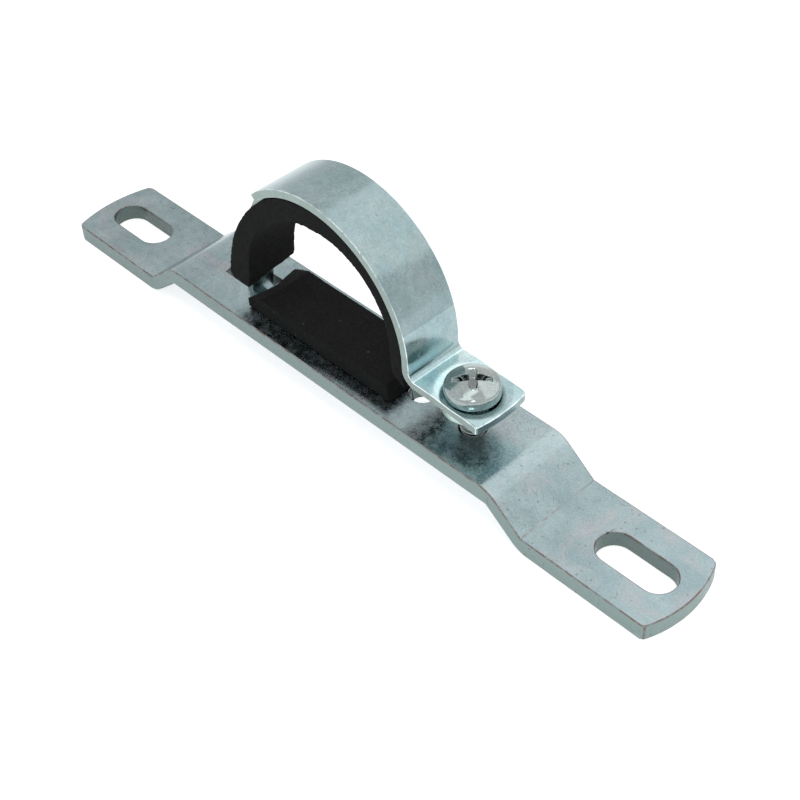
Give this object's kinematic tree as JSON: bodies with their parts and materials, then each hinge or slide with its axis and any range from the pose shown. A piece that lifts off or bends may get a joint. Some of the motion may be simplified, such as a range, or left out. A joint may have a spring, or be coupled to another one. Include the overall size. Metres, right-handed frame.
{
  "type": "conduit strap",
  "caption": "Joggled steel mounting bar with a hooked half-round pipe band, foam rubber lining and pad, closed by a single pan head screw.",
  "frame": {"origin": "middle of the bar, on the wall face of its two end tabs", "axes": "+X along the bar towards the screw, -Y the front of the part, +Z away from the wall"},
  "size_m": [0.1556, 0.019, 0.0441],
  "materials": {
    "zinc_bar": "satin",
    "zinc_band": "satin",
    "foam_lining": "matte",
    "foam_pad": "matte",
    "zinc_screw": "satin"
  },
  "bodies": {
    "root": {"base_bar": "zinc_bar", "clamp_band": "zinc_band", "arch_lining": "foam_lining", "base_pad": "foam_pad", "clamp_screw": "zinc_screw"}
  },
  "joints": []
}
